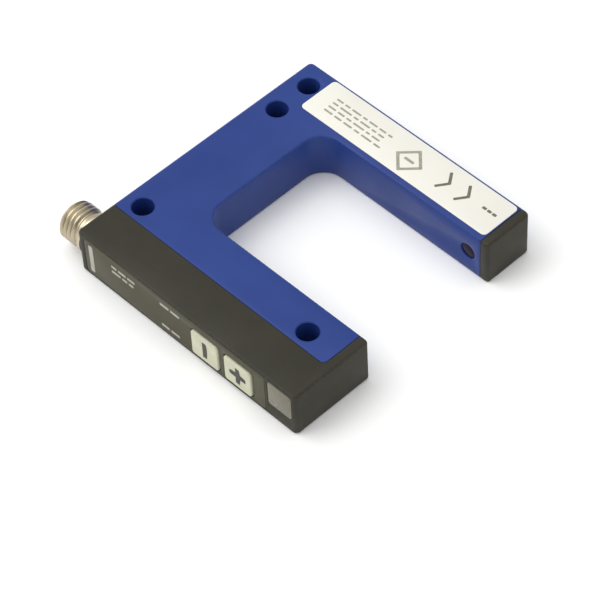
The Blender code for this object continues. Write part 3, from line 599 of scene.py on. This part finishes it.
plug = {
    "sides": 96,
    "coreRadius": 2.4 * mm,
    "boreRadius": 2.95 * mm,
    "barrelRadius": 3 * mm,
    "rootRadius": 3.39 * mm,
    "flangeRadius": 3.4 * mm,
    "crestRadius": 4 * mm,
    "flangeDepth": 0.8 * mm,
    "collarDepth": 0.8 * mm,
    "reliefDepth": 0.8 * mm,
    "mouthDepth": 4.5 * mm,
    "sealGap": 0.05 * mm,
    "mouthGap": 0.08 * mm,  # from the mouth to where the thread starts
    "shave": 0.002 * mm,  # taken off the crests, so that no two faces lie in one place
    "pitch": 1 * mm,
    "turns": 6,
    "crestFlat": 0.12 * mm,
    "crestRound": 0.03 * mm,
    "buried": 0.1 * mm,  # how deep the ridge's foot lies in the shell
    "flankSlope": math.tan(math.radians(30)),
    "softEdge": 0.06 * mm,
}
plugLow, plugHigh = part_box("connector_shell")
sealLow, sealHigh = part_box("connector_seal")
plugAxis = Vector((0, (plugLow.y + plugHigh.y) / 2, (plugLow.z + plugHigh.z) / 2))


def spunRing(profile):  # a closed outline of (x, radius) pairs, spun round the plug's axis
    deselectAll()
    bpy.ops.mesh.primitive_circle_add(vertices=len(profile))
    piece = bpy.context.object
    for vert, (x, radius) in zip(piece.data.vertices, profile):
        vert.co = plugAxis + Vector((x, 0, radius))
    startEdit(piece)
    bpy.ops.mesh.select_all(action="SELECT")
    bpy.ops.mesh.spin(steps=plug["sides"], angle=2 * math.pi, center=plugAxis, axis=(1, 0, 0))
    fixNormals()
    return piece


def threadRidge(start):  # one ridge of the thread, screwed along the axis and closed at both ends
    low, high = plug["rootRadius"] - plug["buried"], plug["crestRadius"]
    top, soft = plug["crestFlat"] / 2, plug["crestRound"]
    foot = top + (high - low) * plug["flankSlope"]
    shoulder = top + soft * plug["flankSlope"]
    half = [(foot, low), (shoulder, high - soft), (top - soft, high)]
    profile = half + [(-x, radius) for x, radius in reversed(half)]
    deselectAll()
    bpy.ops.mesh.primitive_circle_add(vertices=len(profile), location=plugAxis)
    ridge = bpy.context.object
    for vert, (x, radius) in zip(ridge.data.vertices, profile):
        vert.co = (start + x, 0, radius)
    applyModifier(
        ridge,
        "SCREW",
        axis="X",
        angle=2 * math.pi,
        screw_offset=plug["pitch"],
        iterations=plug["turns"],
        steps=plug["sides"],
        render_steps=plug["sides"],
        use_merge_vertices=False,
    )
    startEdit(ridge)
    bpy.ops.mesh.select_all(action="DESELECT")
    bpy.ops.mesh.select_non_manifold()
    bpy.ops.mesh.fill()
    fixNormals()
    return ridge


def makePlug():
    mouth, tail = plugLow.x, plugHigh.x
    flangeStart = tail - plug["flangeDepth"]
    collarStart = sealLow.x - plug["sealGap"]
    collarEnd = collarStart - plug["collarDepth"]
    mouthFloor = mouth + plug["mouthDepth"]
    body = spunRing(
        [
            (tail, plug["coreRadius"]),
            (tail, plug["flangeRadius"]),
            (flangeStart, plug["flangeRadius"]),
            (flangeStart, plug["barrelRadius"]),
            (collarStart, plug["barrelRadius"]),
            (collarStart, plug["crestRadius"]),
            (collarEnd, plug["crestRadius"]),
            (collarEnd, plug["rootRadius"]),
            (mouth, plug["rootRadius"]),
            (mouth, plug["boreRadius"]),
            (mouthFloor, plug["boreRadius"]),
            (mouthFloor, plug["coreRadius"]),
        ]
    )
    softenEdges(body, plug["softEdge"])

    threadStart = collarEnd - plug["reliefDepth"]
    threadEnd = mouth + plug["mouthGap"]
    lead = plug["crestRadius"] - plug["rootRadius"]  # both ends of the thread taper over this length
    crest = plug["crestRadius"] - plug["shave"]
    envelope = spunRing(
        [
            (threadStart, plug["boreRadius"]),
            (threadStart, plug["rootRadius"]),
            (threadStart - lead, crest),
            (threadEnd + lead, crest),
            (threadEnd, plug["rootRadius"]),
            (threadEnd, plug["boreRadius"]),
        ]
    )
    ridge = threadRidge(mouth - plug["pitch"] / 2)
    combine(ridge, envelope, "INTERSECT")
    combine(body, ridge, "UNION")
    startEdit(body)
    fixNormals()
    settle(body, "threadedPlug", "root", materials["nickel_plate"], "connector_shell")


makePlug()
print("threaded plug made")


# The two keys, dished, with ears that keep them in the cover

keyCap = {
    "ear": 0.5 * mm,
    "earHeight": 4 * mm,
    "earDepth": 0.6 * mm,
    "corner": 0.7 * mm,
    "cornerSteps": 8,
    "rim": 0.3 * mm,
    "rimSteps": 5,
    "frontLeast": 3 * mm,  # the front is the one face that is larger than this squared
    "frontTurn": -0.99,  # and whose normal's Y is below this
    "dish": (  # each ring's size as a share of the last one's, and how much deeper it lies
        (0.86, 0),
        (0.84, 0.04 * mm),
        (0.84, 0.04 * mm),
        (0.8, 0.035 * mm),
        (0.75, 0.03 * mm),
        (0.6, 0.015 * mm),
    ),
}
keySign = {
    "width": 0.95 * mm,
    "reach": 4 * mm,
    "depth": 0.3 * mm,
    "inset": 0.03 * mm,
    "soft": 0.12 * mm,
    "softSteps": 3,
}


def boxBetween(low, high):  # a block between two corners
    deselectAll()
    bpy.ops.mesh.primitive_cube_add(size=1, location=(low + high) / 2, scale=high - low)
    bpy.ops.object.transform_apply(location=True, rotation=False, scale=True)
    return bpy.context.object


def makeKeyCap(name):
    low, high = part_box(name + "_key")
    ear = Vector((keyCap["ear"], 0, 0))
    cap = boxBetween(low + ear, high - ear)
    startEdit(cap)
    pick(cap, "edges", lambda e: runsAlong(e, 1, touch))
    bpy.ops.mesh.bevel(offset=keyCap["corner"], segments=keyCap["cornerSteps"], affect="EDGES")
    pick(cap, "edges", lambda e: all(v.co.y < low.y + touch for v in e.verts))
    bpy.ops.mesh.bevel(offset=keyCap["rim"], segments=keyCap["rimSteps"], affect="EDGES")
    bpy.ops.mesh.select_mode(type="FACE")
    least = keyCap["frontLeast"] ** 2
    pick(cap, "faces", lambda f: f.normal.y < keyCap["frontTurn"] and f.calc_area() > least)
    middle = (low.z + high.z) / 2
    centre = ((low.x + high.x) / 2, low.y, middle)
    for shrink, sink in keyCap["dish"]:
        bpy.ops.mesh.extrude_region_move(TRANSFORM_OT_translate={"value": (0, sink, 0)})
        bpy.ops.transform.resize(value=(shrink, 1, shrink), center_override=centre)
    bottom, top = middle - keyCap["earHeight"] / 2, middle + keyCap["earHeight"] / 2
    ears = boxBetween(Vector((low.x, high.y - keyCap["earDepth"], bottom)), Vector((high.x, high.y, top)))
    combine(cap, ears, "UNION")
    body, slot = name + "_key_unit", "key_plastic"
    settle(cap, name + "KeyCap", body, materials[slot], name + "_key")


def makeKeySign(name, turns):  # bars crossing at the middle of the dish, lying down where turned
    low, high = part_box(name + "_key")
    x, z = (low.x + high.x) / 2, (low.z + high.z) / 2
    outer = low.y + keySign["inset"]
    inner = outer + keySign["depth"]
    bars = []
    for turned in turns:
        width, height = keySign["width"], keySign["reach"]
        if turned:
            width, height = height, width
        half = Vector((width / 2, 0, height / 2))
        bars.append(boxBetween(Vector((x, outer, z)) - half, Vector((x, inner, z)) + half))
    sign = bars.pop(0)
    for bar in bars:
        combine(sign, bar, "UNION")
    startEdit(sign)
    fixNormals()
    bpy.ops.mesh.dissolve_limited(angle_limit=flatAngle)
    pick(sign, "edges", lambda e: runsAlong(e, 1, touch))
    bpy.ops.mesh.bevel(offset=keySign["soft"], segments=keySign["softSteps"], affect="EDGES")
    settle(sign, name + "Sign", name + "_key_unit", inks["dark"])


for name, turns in {"minus": [False], "plus": [False, True]}.items():
    makeKeyCap(name)
    makeKeySign(name, turns)
print("keys and signs made")


# Print on the label and the front film: plain bars and simple shapes

ink = {"depth": 0.015 * mm, "round": 0.3, "roundSteps": 2, "overrun": 0.5}  # shares of a bar's width


def inkShape(name, strokes, width, level, facing, slot, material, overrun=ink["overrun"], joined=False):
    # bars from (a, b) to (c, d), lying up on a top face or standing on the side face; each runs
    # past both of its points by overrun, a share of its width
    deselectAll()
    bpy.ops.mesh.primitive_cube_add(size=mm)
    piece = bpy.context.object
    startEdit(piece)
    bpy.ops.mesh.delete(type="VERT")  # leaves an empty mesh, which the bars go into
    depth = ink["depth"]
    for a, b, c, d in strokes:
        length = math.hypot(c - a, d - b) + 2 * overrun * width
        turn = math.atan2(d - b, c - a)
        p, q = (a + c) / 2, (b + d) / 2
        if facing == "up":
            where, turned, size = (p, q, level + depth / 2), (0, 0, turn), (length, width, depth)
        else:
            where, turned, size = (p, level - depth / 2, q), (0, -turn, 0), (length, depth, width)
        bpy.ops.mesh.primitive_cube_add(size=1, location=where, rotation=turned, scale=size)
    if joined:
        bpy.ops.mesh.select_all(action="SELECT")
        bpy.ops.mesh.intersect_boolean(operation="UNION", use_self=True)
        fixNormals()
        bpy.ops.mesh.dissolve_limited(angle_limit=flatAngle)
    axis = 2 if facing == "up" else 1
    pick(piece, "edges", lambda e: runsAlong(e, axis, depth / 2))
    bpy.ops.mesh.bevel(
        offset=width * ink["round"], segments=ink["roundSteps"], affect="EDGES", clamp_overlap=True
    )
    settle(piece, name, "root", material)


labelPrint = {
    "rows": 4,
    "rowPitch": 1.15 * mm,
    "rowHeight": 0.42 * mm,
    "textStart": 4 * mm,
    "textEnd": 18 * mm,
    "textTop": 6 * mm,
    "shortest": 0.5 * mm,
    "longest": 2.6 * mm,
    "space": 0.55 * mm,
    "seed": 7,
    "squareAt": (24.3 * mm, 4 * mm),
    "squareHalf": 2.9 * mm,
    "squareBarHalf": 0.87 * mm,
    "chevronsAt": (32.1 * mm, 36.8 * mm),
    "chevronHalf": 2.1 * mm,
    "chevronReach": 1.5 * mm,
    "chevronLevel": 4.9 * mm,
    "dotsAt": (42 * mm, 43.2 * mm, 44.4 * mm),
    "dotLength": 0.52 * mm,
    "lineWidth": 0.6 * mm,
}


def textBars(start, end, look, seed):  # a row of word-long bars
    dice = random.Random(seed)
    bars, at = [], start
    while at < end - look["shortest"]:
        length = min(dice.uniform(look["shortest"], look["longest"]), end - at)
        bars.append((at, at + length))
        at += length + look["rowHeight"] + look["space"]
    return bars


def makeLabelPrint():
    low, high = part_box("rating_label")
    onLabel = (high.z, "up", "label_film")
    width = labelPrint["lineWidth"]

    words = []
    start, end = labelPrint["textStart"], labelPrint["textEnd"]
    for row in range(labelPrint["rows"]):
        y = low.y + labelPrint["textTop"] - row * labelPrint["rowPitch"]
        for a, b in textBars(start, end, labelPrint, labelPrint["seed"] + row):
            words.append((low.x + a, y, low.x + b, y))
    inkShape("labelWords", words, labelPrint["rowHeight"], *onLabel, inks["grey"])

    x, y = low.x + labelPrint["squareAt"][0], low.y + labelPrint["squareAt"][1]
    half, bar = labelPrint["squareHalf"], labelPrint["squareBarHalf"]
    corners = [(x - half, y), (x, y - half), (x + half, y), (x, y + half)]
    square = [(*corners[i - 1], *corners[i]) for i in range(len(corners))]
    square.append((x - bar, y, x + bar, y))
    inkShape("labelSquare", square, width, *onLabel, inks["grey"], joined=True)

    arrows = []
    y = low.y + labelPrint["chevronLevel"]
    reach, half = labelPrint["chevronReach"], labelPrint["chevronHalf"]
    for place in labelPrint["chevronsAt"]:
        x = low.x + place
        arrows += [(x, y + side * half, x + reach, y) for side in (-1, 1)]
    for place in labelPrint["dotsAt"]:
        x = low.x + place
        arrows.append((x, y, x + labelPrint["dotLength"], y))
    mitre = reach / half / 2  # with this overrun the outer corners of both arms meet
    inkShape("labelArrows", arrows, width, *onLabel, inks["olive"], mitre, joined=True)


filmPrint = {
    "stripe": (1.1 * mm, 2.2 * mm),
    "stripeMargin": 0.9 * mm,
    "barsAt": (7.5 * mm, 13.5 * mm),
    "barLevels": (7.4 * mm, 6.1 * mm),
    "legendAt": (20.3 * mm, 25.3 * mm),
    "legendLevels": (7.6 * mm, 2 * mm),
    "rowHeight": 0.6 * mm,
    "shortest": 0.6 * mm,
    "longest": 1.8 * mm,
    "space": 0.4 * mm,
    "seed": 21,
}


def makeFilmPrint():
    low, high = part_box("control_foil")
    onFilm = (low.y, "side", "grey_foil")

    left, right = filmPrint["stripe"]
    x, width = low.x + (left + right) / 2, right - left
    margin = filmPrint["stripeMargin"] + width / 2
    inkShape("filmStripe", [(x, low.z + margin, x, high.z - margin)], width, *onFilm, inks["pale"])

    rows = [(filmPrint["barsAt"], level) for level in filmPrint["barLevels"]]
    rows += [(filmPrint["legendAt"], level) for level in filmPrint["legendLevels"]]
    bars = []
    for number, (span, level) in enumerate(rows):
        for a, b in textBars(*span, filmPrint, filmPrint["seed"] + number):
            bars.append((low.x + a, level, low.x + b, level))
    inkShape("filmBars", bars, filmPrint["rowHeight"], *onFilm, inks["pale"])


makeLabelPrint()
makeFilmPrint()
print("print made")


# Stage, lights and camera

stage = {
    "floorSize": 24,
    "floorLevel": -0.05 * mm,
    "floorLook": {
        "shader": {"Base Color": (0.97, 0.97, 0.965, 1), "Roughness": 0.7, "Specular IOR Level": 0.2}
    },
    "worldColour": (1, 1, 1, 1),
    "worldStrength": 0.72,
}
lampTarget = (0.02, -0.003, 0)
lamps = {
    "keyLight": {"at": (-0.5, -0.45, 0.85), "size": 0.85, "power": 5.6},
    "fillLight": {"at": (0.9, -0.1, 0.5), "size": 0.8, "power": 0.2},
    "topLight": {"at": (-0.15, 0.1, 1.1), "size": 1.0, "power": 2.8},
}
camera = {  # angles in degrees, fitted to the edges in the photograph
    "lookAt": Vector((0.025788, -0.009633, -0.002409)),
    "azimuth": -41.709,
    "elevation": 49.429,
    "roll": -3.486,
    "distance": 0.53281,
    "lens": 177.15,
    "sensor": 36,
    "clip": (0.01, 20),
}


def aim(thing, at, target):  # puts a lamp or camera at a place, looking at another
    thing.location = at
    thing.rotation_mode = "QUATERNION"
    thing.rotation_quaternion = (Vector(target) - Vector(at)).to_track_quat("-Z", "Y")


def makeStage():
    deselectAll()
    bpy.ops.mesh.primitive_plane_add(size=stage["floorSize"], location=(0, 0, stage["floorLevel"]))
    floor = bpy.context.object
    floor.name = "floor"
    floor.data.materials.append(newMaterial("floorPale", stage["floorLook"])[0])
    world = bpy.data.worlds.new("studio")
    bpy.context.scene.world = world
    world.use_nodes = True
    background = world.node_tree.nodes["Background"]
    background.inputs["Color"].default_value = stage["worldColour"]
    background.inputs["Strength"].default_value = stage["worldStrength"]


def makeLamps():
    for name, look in lamps.items():
        light = bpy.data.lights.new(name, "AREA")
        light.size, light.energy = look["size"], look["power"]
        lamp = bpy.data.objects.new(name, light)
        bpy.context.scene.collection.objects.link(lamp)
        aim(lamp, look["at"], lampTarget)


def makeCamera():
    optics = bpy.data.cameras.new("camera")
    optics.lens, optics.sensor_width = camera["lens"], camera["sensor"]
    optics.clip_start, optics.clip_end = camera["clip"]
    viewer = bpy.data.objects.new("camera", optics)
    bpy.context.scene.collection.objects.link(viewer)
    a, e = math.radians(camera["azimuth"]), math.radians(camera["elevation"])
    back = Vector((math.cos(e) * math.cos(a), math.cos(e) * math.sin(a), math.sin(e)))
    aim(viewer, camera["lookAt"] + back * camera["distance"], camera["lookAt"])
    roll = Quaternion((0, 0, 1), math.radians(camera["roll"]))
    viewer.rotation_quaternion = viewer.rotation_quaternion @ roll
    bpy.context.scene.camera = viewer


makeStage()
makeLamps()
makeCamera()
bpy.context.scene.view_settings.view_transform = "Standard"
print("stage, lights and camera made")
